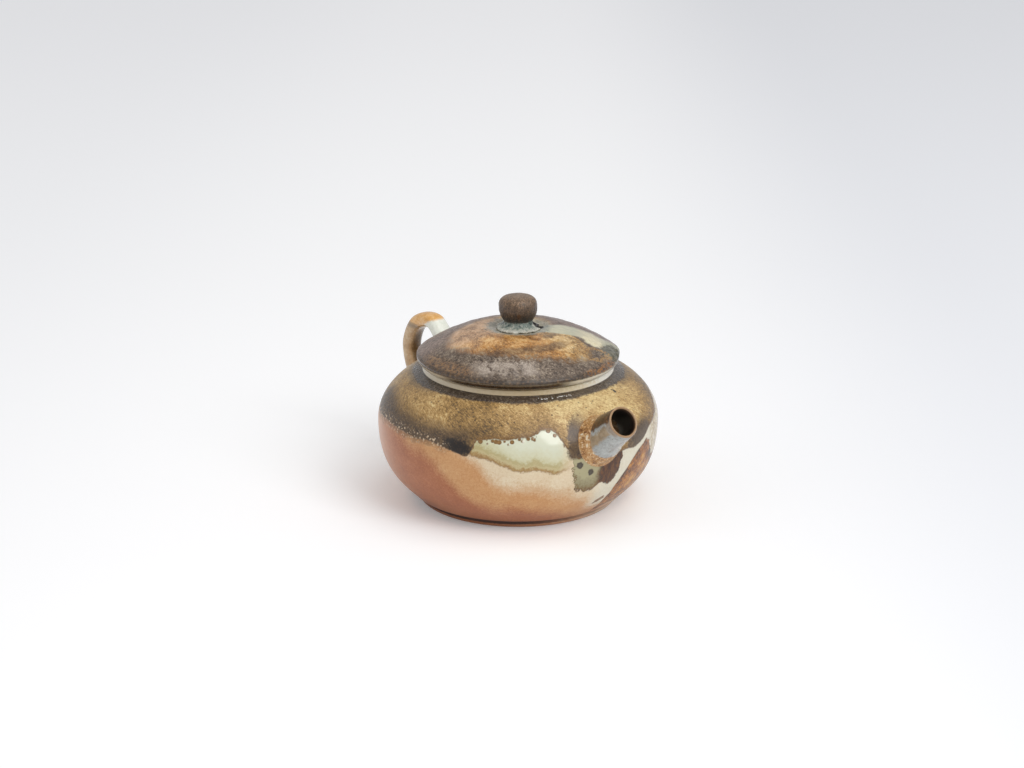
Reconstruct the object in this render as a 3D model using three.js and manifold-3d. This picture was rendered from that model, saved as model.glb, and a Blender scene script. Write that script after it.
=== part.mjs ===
// A small porcelain teapot: a squat round bowl on a turned foot, a short straight spout, an ear handle
// opposite the spout, and a shallow domed lid with a ball knob. Millimetres, +Z up, spout towards +X.

import * as THREE from 'three';
import { mergeVertices } from 'three/addons/utils/BufferGeometryUtils.js';
import Module from 'manifold-3d';

const wasm = await Module();
wasm.setup();

// Bowl
const bellyRadius = 44;
const bellyHeight = 25.7;
const wallThickness = 3;
const footRadius = 31.3;
const footRingWidth = 4.5;
const footBandHeight = 2.4;
const footRecessDepth = 1.8;
const bowlStartRadius = 33.5;
const bowlStartHeight = 2.8;
const neckRadius = 30.0;
const neckBaseHeight = 41.7;
const rimHeight = 43.4;
const rimWidth = 3.2;

// Lid
const lidRadius = 31.8;
const lidSeatGap = 0.3;
const lidEdgeRise = 2.7;
const lidDomeRise = 8;
const lidThickness = 2.6;
const flangeDepth = 5.6;
const flangeThickness = 2.4;
const flangeClearance = 0.5;

// Knob and the steam hole that slants in beside it
const knobRadius = 6;
const knobHeight = 10.2;
const knobNeckRadius = 4.5;
const knobFlareRadius = 7.2;
const knobFlareHeight = 2.3;
const steamHoleRadius = 1.1;
const steamHoleTilt = 42;
const steamHoleAzimuth = 55;

// Spout
const spoutRootHeight = 30;
const spoutLength = 14;
const spoutTilt = 38.3;
const mouthTilt = 32.2;
const mouthRadius = 4.8;
const mouthLip = 0.7;
const spoutTaper = 0.15;
const spoutRootBore = 4.9;
const spoutUnderDraw = 0.17;

// Strainer luted inside the wall over the pour hole
const strainerRadius = 8;
const strainerThickness = 1.6;
const strainerHoleRadius = 0.8;
const strainerHoleSpacing = 3;

// Handle
const handleWidth = 6.2;
const handleThickness = 4.9;
const handleUpperHeight = 38.4;
const handleLowerHeight = 18;
const handleReach = 18.3;
const handleCrestHeight = 44.9;
const handleElbowHeight = 33.5;
const handleShoulderDrop = 4.1;
const handleTurnDrop = 2.6;
const handleHeelRise = 1.4;
const handleKneeRise = 6;
const handleRootSpread = 1.25;

// The slip joint left between two pieces that are luted together
const slipGap = 0.3;

const turnedSides = 60;
const smallTurnedSides = 28;
const curveSteps = 9;
const smallCurveSteps = 5;
const radians = THREE.MathUtils.degToRad;

// A closed mesh with shared corners becomes a solid that can be joined and cut.
function solidFrom(geometry) {
  const bare = geometry.clone();
  bare.deleteAttribute('normal');
  bare.deleteAttribute('uv');
  const merged = mergeVertices(bare, 1e-4);
  const corners = merged.index.array;
  const triangles = [];
  for (let i = 0; i < corners.length; i += 3) {
    const [a, b, c] = [corners[i], corners[i + 1], corners[i + 2]];
    if (a !== b && b !== c && c !== a) triangles.push(a, b, c);
  }
  return new wasm.Manifold(new wasm.Mesh({
    numProp: 3,
    vertProperties: new Float32Array(merged.attributes.position.array),
    triVerts: new Uint32Array(triangles),
  }));
}

function geometryFrom(solid) {
  const { vertProperties, triVerts } = solid.getMesh();
  const geometry = new THREE.BufferGeometry();
  geometry.setAttribute('position', new THREE.BufferAttribute(vertProperties, 3));
  geometry.setIndex(new THREE.BufferAttribute(triVerts, 1));
  geometry.computeVertexNormals();
  return geometry;
}

// A profile of radius and height turned about +Z. It starts and ends on the axis.
function turned(profile, sides = turnedSides) {
  const geometry = new THREE.LatheGeometry(profile, sides);
  geometry.rotateX(Math.PI / 2);
  return geometry;
}

// Lay a shape made about +Z along another direction, with its origin at a point.
function aimed(geometry, point, direction) {
  const turn = new THREE.Quaternion().setFromUnitVectors(new THREE.Vector3(0, 0, 1), direction);
  geometry.applyQuaternion(turn);
  geometry.translate(point.x, point.y, point.z);
  return geometry;
}

function rod(radius, length, sides) {
  const geometry = new THREE.CylinderGeometry(radius, radius, length, sides);
  geometry.rotateX(Math.PI / 2);
  return geometry;
}

const at = (radius, height) => new THREE.Vector2(radius, height);

function bezier(start, startPull, endPull, end, steps = curveSteps) {
  return new THREE.CubicBezierCurve(start, startPull, endPull, end).getPoints(steps);
}

// Outer outline of the bowl, from where it leaves the foot to where the neck starts
const belly = at(bellyRadius, bellyHeight);
const bowlStart = at(bowlStartRadius, bowlStartHeight);
const neckBase = at(neckRadius, neckBaseHeight);
const lowerRise = bellyHeight - bowlStartHeight;
const upperRise = neckBaseHeight - bellyHeight;
const lowerOut = bellyRadius - bowlStartRadius;
const upperIn = bellyRadius - neckRadius;
const bowlOutline = [
  ...bezier(bowlStart, at(bowlStart.x + 0.33 * lowerOut, bowlStart.y + 0.17 * lowerRise),
    at(belly.x, belly.y - 0.66 * lowerRise), belly),
  ...bezier(belly, at(belly.x, belly.y + 0.575 * upperRise),
    at(neckBase.x + 0.3 * upperIn, neckBase.y - 0.06 * upperRise), neckBase).slice(1),
];

// The same outline moved along its normals, outwards for a positive distance
function offsetOutline(distance) {
  return bowlOutline.map((point, i) => {
    const before = bowlOutline[Math.max(i - 1, 0)];
    const after = bowlOutline[Math.min(i + 1, bowlOutline.length - 1)];
    const along = after.clone().sub(before).normalize();
    return at(point.x + distance * along.y, point.y - distance * along.x);
  });
}

function outlineRadiusAt(height) {
  const i = bowlOutline.findIndex((point, k) => k > 0 && point.y >= height);
  const [below, above] = [bowlOutline[i - 1], bowlOutline[i]];
  return THREE.MathUtils.mapLinear(height, below.y, above.y, below.x, above.x);
}

const neckBore = neckRadius - 0.4 - rimWidth;
const floorHeight = footRecessDepth + wallThickness;
const innerWall = offsetOutline(-wallThickness)
  .filter((point) => point.x > neckBore && point.y > floorHeight);
const throatHeight = innerWall.at(-1).y + 0.4;

const bowlShell = solidFrom(turned([
  at(0, footRecessDepth),
  at(footRadius - footRingWidth - 1, footRecessDepth),
  at(footRadius - footRingWidth, 0),
  at(footRadius - 0.5, 0),
  at(footRadius, 0.5),
  at(footRadius + 0.3, footBandHeight),
  ...bowlOutline,
  at(neckRadius - 0.4, rimHeight - 0.4),
  at(neckRadius - 0.8, rimHeight),
  at(neckBore + 0.4, rimHeight),
  at(neckBore, rimHeight - 0.4),
  at(neckBore, throatHeight),
  ...innerWall.toReversed(),
  at(0, floorHeight),
]));

// The bowl with no hollow, grown by the slip joint: what is luted on the outside is trimmed to this.
const grownOutline = offsetOutline(slipGap);
const outsideTrim = solidFrom(turned([
  at(0, grownOutline[0].y),
  ...grownOutline,
  at(0, grownOutline.at(-1).y),
]));

// The hollow of the bowl, shrunk by the slip joint: the strainer is trimmed to this.
const shrunkWall = offsetOutline(-wallThickness - slipGap)
  .filter((point) => point.y > floorHeight + slipGap);
const insideTrim = solidFrom(turned([
  at(0, floorHeight + slipGap),
  ...shrunkWall,
  at(0, shrunkWall.at(-1).y),
]));

// The underside of the spout is drawn in towards the root. Below the axis is +X before it is aimed.
function drawnUnder(geometry, length, share) {
  const corners = geometry.attributes.position;
  for (let i = 0; i < corners.count; i += 1) {
    const x = corners.getX(i);
    const nearRoot = THREE.MathUtils.clamp(1 - corners.getZ(i) / length, 0, 1);
    corners.setX(i, x > 0 ? x * (1 - share * nearRoot) : x);
  }
  return geometry;
}

// Spout: a tapered tube whose axis leaves the wall at the root
const spoutAxis = new THREE.Vector3(Math.cos(radians(spoutTilt)), 0, Math.sin(radians(spoutTilt)));
const spoutRoot = new THREE.Vector3(outlineRadiusAt(spoutRootHeight), 0, spoutRootHeight);
const mouthCentre = spoutRoot.clone().addScaledVector(spoutAxis, spoutLength);
const mouthNormal = new THREE.Vector3(Math.cos(radians(mouthTilt)), 0, Math.sin(radians(mouthTilt)));
const buriedLength = 9;
const mouthSpare = 2;
const spoutRootRadius = mouthRadius + spoutTaper * spoutLength;

const spoutTube = solidFrom(aimed(drawnUnder(turned([
  at(0, -buriedLength),
  at(spoutRootRadius + 1.6, -buriedLength),
  at(spoutRootRadius + 1.2, -0.35 * spoutLength),
  at(spoutRootRadius + 0.6, 0),
  at(spoutRootRadius - 0.1, 0.25 * spoutLength),
  at(mouthRadius + spoutTaper * 0.4 * spoutLength, 0.6 * spoutLength),
  at(mouthRadius - spoutTaper * mouthSpare, spoutLength + mouthSpare),
  at(0, spoutLength + mouthSpare),
], smallTurnedSides), spoutLength, spoutUnderDraw), spoutRoot, spoutAxis));

const pourHole = solidFrom(aimed(turned([
  at(0, -2 * buriedLength),
  at(spoutRootBore, -2 * buriedLength),
  at(spoutRootBore, 0),
  at(mouthRadius - mouthLip, spoutLength - 2),
  at(mouthRadius - mouthLip, spoutLength + 2 * mouthSpare),
  at(0, spoutLength + 2 * mouthSpare),
], smallTurnedSides), spoutRoot, spoutAxis));

const mouthCutDepth = 12;
const mouthCut = solidFrom(aimed(
  new THREE.BoxGeometry(6 * mouthRadius, 6 * mouthRadius, mouthCutDepth),
  mouthCentre.clone().addScaledVector(mouthNormal, mouthCutDepth / 2),
  mouthNormal,
));

const potBody = bowlShell.subtract(pourHole);
const spout = spoutTube.subtract(outsideTrim).subtract(pourHole).subtract(mouthCut);

// Strainer: a pierced dome about the middle of the pour hole's inner end
const strainerCentre = spoutRoot.clone().addScaledVector(spoutAxis, -wallThickness);
const domeSteps = 12;
const strainerShell = solidFrom(new THREE.SphereGeometry(strainerRadius, smallTurnedSides, domeSteps)
  .rotateX(Math.PI / 2))
  .subtract(solidFrom(new THREE.SphereGeometry(
    strainerRadius - strainerThickness, smallTurnedSides, domeSteps).rotateX(Math.PI / 2)))
  .translate(strainerCentre.x, strainerCentre.y, strainerCentre.z)
  .intersect(insideTrim);

// Holes in rings around the dome's crown, each pointing at the dome's centre
let strainer = strainerShell;
const crown = new THREE.Vector3(-1, 0, 0);
const ringCount = 2;
for (let ring = 0; ring <= ringCount; ring += 1) {
  const away = ring * strainerHoleSpacing / strainerRadius;
  const copies = ring === 0 ? 1 : 6 * ring;
  for (let k = 0; k < copies; k += 1) {
    const around = (2 * Math.PI * k) / copies;
    const direction = crown.clone()
      .applyAxisAngle(new THREE.Vector3(0, 1, 0), away)
      .applyAxisAngle(crown, around);
    const middle = strainerCentre.clone().addScaledVector(direction, strainerRadius);
    strainer = strainer.subtract(solidFrom(aimed(
      rod(strainerHoleRadius, 3 * strainerThickness, 8), middle, direction)));
  }
}

// Handle: a strap that rises from the shoulder, arches outwards and comes back to the belly
const rootBury = 2.5;
const handleOut = bellyRadius + handleReach;
const upperWall = outlineRadiusAt(handleUpperHeight);
const lowerWall = outlineRadiusAt(handleLowerHeight);
const handlePath = new THREE.CatmullRomCurve3([
  at(upperWall - rootBury, handleUpperHeight),
  at(THREE.MathUtils.lerp(upperWall, handleOut, 0.2), handleCrestHeight - handleShoulderDrop),
  at(THREE.MathUtils.lerp(upperWall, handleOut, 0.45), handleCrestHeight),
  at(THREE.MathUtils.lerp(upperWall, handleOut, 0.82), handleCrestHeight - handleTurnDrop),
  at(handleOut, handleElbowHeight),
  at(THREE.MathUtils.lerp(lowerWall, handleOut, 0.8), handleLowerHeight + handleKneeRise),
  at(THREE.MathUtils.lerp(lowerWall, handleOut, 0.4), handleLowerHeight + handleHeelRise),
  at(lowerWall - rootBury, handleLowerHeight),
].map((point) => new THREE.Vector3(-point.x, 0, point.y)), false, 'centripetal');

function strapOutline(width, thickness) {
  const outline = [];
  const sides = 14;
  for (let k = 0; k < sides; k += 1) {
    const angle = (2 * Math.PI * k) / sides;
    const squareness = 0.8;
    const across = Math.sign(Math.cos(angle)) * Math.abs(Math.cos(angle)) ** squareness;
    const through = Math.sign(Math.sin(angle)) * Math.abs(Math.sin(angle)) ** squareness;
    outline.push(at(across * width / 2, through * thickness / 2));
  }
  return new THREE.Shape(outline);
}

const strap = solidFrom(new THREE.ExtrudeGeometry(strapOutline(handleWidth, handleThickness), {
  steps: 28, extrudePath: handlePath, bevelEnabled: false,
}));

// Each end is pressed on the wall as a wider pad.
function rootPad(radius, height, tilt) {
  const pad = new THREE.SphereGeometry(1, 18, 10);
  const spread = 0.62 * handleRootSpread;
  pad.scale(0.75 * handleThickness, spread * handleWidth, spread * handleThickness);
  pad.rotateY(radians(tilt));
  pad.translate(-radius, 0, height);
  return solidFrom(pad);
}

const handle = strap
  .add(rootPad(upperWall, handleUpperHeight, 40))
  .add(rootPad(lowerWall, handleLowerHeight, 0))
  .subtract(outsideTrim);

// Lid: a shallow dome whose edge overhangs the rim, with a flange that hangs in the neck
const seatHeight = rimHeight + lidSeatGap;
const lidEdgeHeight = seatHeight + lidEdgeRise;
const knobSeatHeight = lidEdgeHeight + lidDomeRise;
const knobSeatRadius = knobFlareRadius + 0.3;
const flangeRadius = neckBore - flangeClearance;
const flangeBore = flangeRadius - flangeThickness;
const domeSpan = lidRadius - knobSeatRadius;
const lidDome = bezier(at(lidRadius, lidEdgeHeight), at(lidRadius, lidEdgeHeight + 0.03 * lidDomeRise),
  at(knobSeatRadius + 0.36 * domeSpan, knobSeatHeight + 0.38 * lidDomeRise),
  at(knobSeatRadius, knobSeatHeight));
const lidUnderside = [
  at(flangeBore, seatHeight - flangeDepth),
  at(flangeBore, seatHeight + 0.3 * lidEdgeRise),
  at(0.8 * flangeBore, seatHeight + 0.5 * (knobSeatHeight - lidThickness - seatHeight)),
  at(0.5 * flangeBore, knobSeatHeight - lidThickness - 0.7),
  at(0.25 * flangeBore, knobSeatHeight - lidThickness),
];
const lidTurned = solidFrom(turned([
  at(0, knobSeatHeight - lidThickness),
  ...lidUnderside.toReversed(),
  at(flangeRadius - 0.6, seatHeight - flangeDepth),
  at(flangeRadius, seatHeight - flangeDepth + 0.8),
  at(flangeRadius, seatHeight),
  at(neckRadius - 0.8, seatHeight),
  ...bezier(at(neckRadius - 0.3, seatHeight + 0.05), at(lidRadius - 0.4, seatHeight + 0.2),
    at(lidRadius, lidEdgeHeight - 0.8), at(lidRadius, lidEdgeHeight), smallCurveSteps),
  ...lidDome.slice(1),
  at(0, knobSeatHeight),
]));

// Knob: a flared foot, a short neck and a slightly flattened ball
const knobBase = knobSeatHeight + slipGap;
const knobTop = knobBase + knobHeight;
const ballHeight = THREE.MathUtils.lerp(knobBase, knobTop, 0.53);
const neckHeight = knobBase + knobFlareHeight;
const knobTurned = solidFrom(turned([
  at(0, knobBase),
  at(knobFlareRadius, knobBase),
  ...bezier(at(knobFlareRadius, knobBase + 0.1), at(knobNeckRadius + 1, knobBase + 0.6),
    at(knobNeckRadius, neckHeight - 0.8), at(knobNeckRadius, neckHeight), smallCurveSteps),
  ...bezier(at(knobNeckRadius + 0.1, neckHeight + 0.2), at(knobRadius - 0.5, ballHeight - 2.2),
    at(knobRadius, ballHeight - 1.3), at(knobRadius, ballHeight), smallCurveSteps),
  ...bezier(at(knobRadius, ballHeight), at(knobRadius, ballHeight + 0.97 * (knobTop - ballHeight)),
    at(0.75 * knobRadius, knobTop), at(0, knobTop), smallCurveSteps + 2).slice(1),
], smallTurnedSides));

// The steam hole slants inwards and down through the knob's flare and the lid.
const steamDirection = new THREE.Vector3(0, 0, 1)
  .applyAxisAngle(new THREE.Vector3(0, 1, 0), radians(steamHoleTilt))
  .applyAxisAngle(new THREE.Vector3(0, 0, 1), radians(steamHoleAzimuth));
const steamEntry = new THREE.Vector3(knobNeckRadius + 1.2, 0, knobBase + 0.4)
  .applyAxisAngle(new THREE.Vector3(0, 0, 1), radians(steamHoleAzimuth));
const steamHole = solidFrom(aimed(rod(steamHoleRadius, 5 * lidThickness, 12), steamEntry, steamDirection));

const lid = lidTurned.subtract(steamHole);
const lidKnob = knobTurned.subtract(steamHole);

function piece(name, solid, color, roughness) {
  const mesh = new THREE.Mesh(geometryFrom(solid), new THREE.MeshStandardMaterial({
    color, roughness, metalness: 0,
  }));
  mesh.name = name;
  return mesh;
}

const teapot = new THREE.Group();
teapot.add(
  piece('pot_body', potBody, 0xb98a62, 0.4),
  piece('spout', spout, 0x8a7256, 0.4),
  piece('strainer', strainer, 0xa9a08c, 0.5),
  piece('handle', handle, 0xc8924a, 0.4),
  piece('lid', lid, 0x7a6653, 0.6),
  piece('lid_knob', lidKnob, 0x6b5b4c, 0.5),
);

// The origin is on the table under the middle of the whole teapot, spout and handle included.
const extent = new THREE.Box3().setFromObject(teapot);
teapot.position.x = -(extent.min.x + extent.max.x) / 2;
teapot.updateMatrixWorld(true);

export default teapot;
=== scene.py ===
# %% [markdown]
# # A small wood fired porcelain teapot
#
# The real pot is thrown porcelain. It went through a wood kiln without much added glaze: ash flew onto
# its shoulder and lid and melted there, ran down in beads, and the flame flushed the bare clay below
# pink, apricot and cream. This lesson turns the same outlines as the potter's wheel would, then lays
# the kiln's marks over them one after another, each where it fell.
#
# The solids of the pot are loaded first. They carry the sizes, so every mesh here takes its place
# from them, in metres, with +Z up and the spout towards +X.

# %% Load the solids
import math
from functools import reduce

import bpy
from mathutils import Matrix, Vector, noise


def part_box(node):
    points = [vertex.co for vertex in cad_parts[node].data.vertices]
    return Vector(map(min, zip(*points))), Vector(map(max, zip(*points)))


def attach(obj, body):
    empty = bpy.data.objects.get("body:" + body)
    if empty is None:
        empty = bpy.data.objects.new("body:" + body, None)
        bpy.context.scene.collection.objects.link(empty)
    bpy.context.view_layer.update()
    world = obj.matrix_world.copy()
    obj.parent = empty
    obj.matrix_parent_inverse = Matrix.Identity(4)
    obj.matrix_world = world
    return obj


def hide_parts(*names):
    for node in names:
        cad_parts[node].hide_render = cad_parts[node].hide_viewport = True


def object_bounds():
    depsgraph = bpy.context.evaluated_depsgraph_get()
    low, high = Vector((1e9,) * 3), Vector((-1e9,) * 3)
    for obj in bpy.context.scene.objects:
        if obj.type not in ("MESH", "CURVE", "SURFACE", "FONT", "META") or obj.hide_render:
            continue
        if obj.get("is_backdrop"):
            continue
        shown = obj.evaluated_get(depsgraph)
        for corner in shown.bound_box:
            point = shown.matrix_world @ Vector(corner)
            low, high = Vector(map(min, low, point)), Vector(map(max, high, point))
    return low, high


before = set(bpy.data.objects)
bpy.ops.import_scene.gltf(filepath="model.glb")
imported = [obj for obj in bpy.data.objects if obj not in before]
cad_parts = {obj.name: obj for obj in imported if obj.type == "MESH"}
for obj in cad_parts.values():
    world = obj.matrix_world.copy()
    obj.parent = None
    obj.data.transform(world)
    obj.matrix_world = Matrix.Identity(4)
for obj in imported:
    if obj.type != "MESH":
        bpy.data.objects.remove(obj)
solid_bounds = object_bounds()
MM = 0.001

lid_low, lid_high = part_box("lid")
body_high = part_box("pot_body")[1]
axis_x = (lid_low[0] + lid_high[0]) / 2
belly_radius = body_high[1] / MM
rim_height = body_high[2] / MM
print("axis at x =", round(axis_x / MM, 2), "mm, belly radius", round(belly_radius, 2), "mm")

# %% [markdown]
# ## Camera
#
# A product photograph of a small pot is taken from some way off with a longer lens, so the foot and the
# rim look almost parallel. The camera looks down on the lid a little and stands to one side of
# the spout, which then points towards the viewer's right. Turns are degrees from the spout, counted
# anticlockwise from above.

# %% Camera
camera_turn = -35.0
camera_distance = 661.06 * MM
camera_height = 250.21 * MM
aim_right = -1.9 * MM
aim_away = 4.8 * MM
aim_height = 34.4 * MM
sensor_width = 36.0
lens = 77.9


def beside_pot(turn, distance, height):
    """A place round the pot's axis, from its turn, its distance and its height."""
    angle = math.radians(turn)
    return Vector((axis_x + distance * math.cos(angle), distance * math.sin(angle), height))


def look_at(thing, point):
    """Turn a camera or lamp so that it faces a point."""
    thing.rotation_euler = (point - thing.location).to_track_quat("-Z", "Y").to_euler()


towards_camera = (beside_pot(camera_turn, 1.0, 0.0) - beside_pot(camera_turn, 0.0, 0.0)).normalized()
camera_right = Vector((-towards_camera.y, towards_camera.x, 0.0))
camera_data = bpy.data.cameras.new("camera")
camera_data.lens = lens
camera_data.sensor_width = sensor_width
camera_data.clip_start = 0.01
camera = bpy.data.objects.new("camera", camera_data)
camera.location = beside_pot(camera_turn, camera_distance, camera_height)
aim = Vector((axis_x, 0, aim_height)) + camera_right * aim_right - towards_camera * aim_away
look_at(camera, aim)
bpy.context.scene.collection.objects.link(camera)
bpy.context.scene.camera = camera
print("camera stands at", [round(v / MM) for v in camera.location], "mm")

# %% [markdown]
# ## Shapes of the wheel
#
# Everything but the spout and the handle was thrown or trimmed on a wheel, so one function turns an
# outline of radius and height about the axis. The outlines are cubic curves through the same few
# sizes as the solids. Each mesh is built round its own origin on the pot's axis, which lets the
# finishes count millimetres from there, also when the lid is lifted.

# %% Turned meshes


def curve(start, start_pull, end_pull, end, steps):
    """Points of one cubic curve, given as radius and height."""
    points = []
    for i in range(steps + 1):
        t = i / steps
        weights = ((1 - t) ** 3, 3 * (1 - t) ** 2 * t, 3 * (1 - t) * t ** 2, t ** 3)
        corners = (start, start_pull, end_pull, end)
        points.append(tuple(sum(w * c[k] for w, c in zip(weights, corners)) for k in (0, 1)))
    return points


def read_off(places, at):
    """The second number of places (first, second), read off in straight lines between them."""
    for (a0, b0), (a1, b1) in zip(places, places[1:]):
        if at <= a1:
            return b0 + (b1 - b0) * max(0.0, at - a0) / (a1 - a0)
    return places[-1][1]


def make_object(name, points, faces):
    """An object from a mesh whose points are millimetres from the pot's axis."""
    mesh = bpy.data.meshes.new(name)
    mesh.from_pydata([[c * MM for c in p] for p in points], [], faces)
    thing = bpy.data.objects.new(name, mesh)
    thing.location = (axis_x, 0, 0)
    bpy.context.scene.collection.objects.link(thing)
    return thing


def make_piece(name, points, faces, body):
    """A smooth piece of the pot that rides on a body."""
    piece = make_object(name, points, faces)
    piece.data.polygons.foreach_set("use_smooth", [True] * len(faces))
    piece.data.update()
    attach(piece, body)
    print(name, "has", len(faces), "faces")
    return piece


def turn_outline(outline, sides, wobble=None):
    """Points and faces of an outline turned about the axis; it may start and end on the axis."""
    points = []
    rings = []
    for radius, height in outline:
        if radius < 1e-6:
            rings.append([len(points)] * sides)
            points.append((0.0, 0.0, height))
            continue
        rings.append(list(range(len(points), len(points) + sides)))
        for k in range(sides):
            angle = 2 * math.pi * k / sides
            point = Vector((radius * math.cos(angle), radius * math.sin(angle), height))
            if wobble:
                point = wobble(point)
            points.append(tuple(point))
    faces = []
    for below, above in zip(rings, rings[1:]):
        for k in range(sides):
            n = (k + 1) % sides
            loop = [below[k], below[n], above[n], above[k]]
            face = [v for i, v in enumerate(loop) if v not in loop[:i]]
            if len(face) > 2:
                faces.append(face)
    return points, faces


print("the wheel turns about x =", round(axis_x / MM, 2), "mm")

# %% [markdown]
# ## The bowl
#
# A squat round bowl with a turned foot, a shallow groove above it, and a short neck that the lid sits
# on. The inside follows the outside one wall thickness further in, with the pour hole left to the
# strainer and spout that cover it. A hand thrown wall isn't perfectly round, so a slow noise moves
# it by about a tenth of a millimetre.

# %% Bowl outline
foot_radius = 31.3
foot_band_height = 2.4
bowl_start = (33.5, 2.8)
belly_height = 25.7
neck_base = (30.0, 41.7)
neck_radius = 29.6
neck_bore = 26.4
wall = 3.0
floor_height = 4.8
recess_height = 1.8
wall_wobble = 0.12
bowl_sides = 256
wobble_size = 26.0
belly = (belly_radius, belly_height)

lower_wall = curve(bowl_start, (37.0, 6.7), (belly_radius, 10.6), belly, 40)
upper_wall = curve(belly, (belly_radius, 34.9), (34.2, 40.75), neck_base, 44)
outer_wall = lower_wall + upper_wall[1:]


def wall_radius(height):
    """Outer radius of the bowl at a height."""
    return read_off([(z, r) for r, z in outer_wall], height)


def thrown(point):
    """The slow unevenness of a thrown wall."""
    push = wall_wobble * noise.noise(point / wobble_size)
    flat = Vector((point.x, point.y, 0)).normalized()
    return point + flat * push


hollow = [(r, z) for r, z in outer_wall if z > floor_height + 1.2 and r > neck_bore + wall]
inner_wall = [(r - wall * 0.99, z) for r, z in hollow]
bowl_outline = (
    [(0, recess_height), (foot_radius - 5.6, recess_height), (foot_radius - 4.6, 0.35)]
    + [(foot_radius - 4.2, 0.02), (foot_radius - 0.7, 0.02), (foot_radius - 0.15, 0.25)]
    + [(foot_radius + 0.1, 0.9)]
    + [(foot_radius + 0.25, foot_band_height - 0.6), (foot_radius + 0.15, foot_band_height - 0.3)]
    + [(foot_radius + 0.35, foot_band_height - 0.05), (bowl_start[0] - 0.7, bowl_start[1] - 0.25)]
    + outer_wall
    + curve((29.95, 41.9), (29.85, 42.3), (neck_radius, 42.8), (neck_radius, 43.1), 6)
    + [(neck_radius - 0.12, rim_height - 0.1), (neck_radius - 0.4, rim_height)]
    + [(neck_bore + 0.5, rim_height), (neck_bore + 0.1, rim_height - 0.15), (neck_bore, rim_height - 0.5)]
    + [(neck_bore, 39.6)] + inner_wall[::-1]
    + curve((33.0, floor_height + 1.4), (30.5, floor_height), (24.0, floor_height), (0, floor_height), 16)
)
points, faces = turn_outline(bowl_outline, bowl_sides, thrown)
bowl = make_piece("bowl", points, faces, "pot")
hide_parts("pot_body")

# %% [markdown]
# ## The lid
#
# The lid was thrown in one piece with the flange that drops into the neck. Its edge swells out over
# the rim and its top is a low dome. Flying ash settled on it as a dry crust, thick enough to change
# the outline at the back of the rim, so the noise that moves the points is stronger here.

# %% Lid
seat_height = rim_height + 0.3
lid_edge = (lid_high[1] / MM, seat_height + 2.7)
knob_seat = (7.5, lid_edge[1] + 8.0)
flange_play = 0.5
flange_wall = 2.4
flange_radius = neck_bore - flange_play
flange_bore = flange_radius - flange_wall
flange_bottom = lid_low[2] / MM
lid_under = knob_seat[1] - 2.6
lid_sides = 320
crust_turn = 54.0
crust_spread = 16.0


def crusted(point):
    """Ash piled on the lid: a fine roughness, and a lump on the rim behind the spout's side."""
    if point.z < seat_height + 0.5:
        return point
    rough = 0.09 * noise.noise(point / 1.7) + 0.13 * noise.noise(point / 4.5)
    turn = math.degrees(math.atan2(point.y, point.x))
    near_lump = max(0.0, 1 - abs(turn - crust_turn) / crust_spread) ** 0.6
    near_lump *= max(0.0, 1 - abs(point.z - lid_edge[1] - 0.7) / 2.0)
    out = Vector((point.x, point.y, 0)).normalized()
    lump = near_lump * (0.7 + 0.9 * noise.noise(point / 2.2))
    fade = min(1.0, (point.z - seat_height - 0.5) / 2)
    return point + fade * (Vector((0, 0, rough)) + Vector((0, 0, 1.0)) * lump - out * 0.12)


lid_outline = (
    [(0, lid_under), (6, lid_under), (12, lid_under - 0.7), (18.8, 48.0), (22.6, 45.4), (flange_bore, 44.2)]
    + [(flange_bore, flange_bottom + 0.5), (flange_bore + 0.3, flange_bottom + 0.05)]
    + [(flange_radius - 0.5, flange_bottom), (flange_radius - 0.1, flange_bottom + 0.5)]
    + [(flange_radius, seat_height - 0.3), (flange_radius + 0.3, seat_height)]
    + [(neck_radius - 0.7, seat_height)]
    + curve((neck_radius - 0.05, seat_height + 0.06), (lid_edge[0] - 0.4, seat_height + 0.2),
            (lid_edge[0], lid_edge[1] - 0.8), lid_edge, 12)
    + curve(lid_edge, (lid_edge[0], lid_edge[1] + 0.25), (16.3, knob_seat[1] + 3), knob_seat, 80)[1:]
    + [(5, knob_seat[1] - 0.1), (0, knob_seat[1] - 0.1)]
)
points, faces = turn_outline(lid_outline, lid_sides, crusted)
lid = make_piece("lid_dome", points, faces, "lid")
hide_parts("lid")

# %% [markdown]
# ## The knob
#
# A ball of clay on a short neck, luted to the lid with plenty of slip. Ash glass pooled in the angle
# round its foot, so the foot flares out like a skirt and is glossier than the ball.

# %% Knob
knob_low, knob_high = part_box("lid_knob")
knob_base = knob_low[2] / MM
knob_top = knob_high[2] / MM
knob_radius = 6.05
knob_neck = 4.5
flare_radius = knob_high[1] / MM
ball_height = knob_base + 0.65 * (knob_top - knob_base)
neck_height = knob_base + 2.2
knob_sides = 160


def lumpy(point):
    """Pinched by hand, then crusted with ash; the pooled glass at the foot is wavy."""
    out = Vector((point.x, point.y, 0.0))
    if out.length < 1e-6:
        return point
    foot = max(0.0, 1 - (point.z - knob_base) / 2.2)
    push = 0.09 * noise.noise(point / 1.3) + 0.14 * noise.noise(point / 4.0)
    push += foot * 0.7 * (noise.noise(point / 1.9) - 0.35)
    return point + out.normalized() * push + Vector((0, 0, 0.35 * foot * noise.noise(point / 1.4)))


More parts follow.
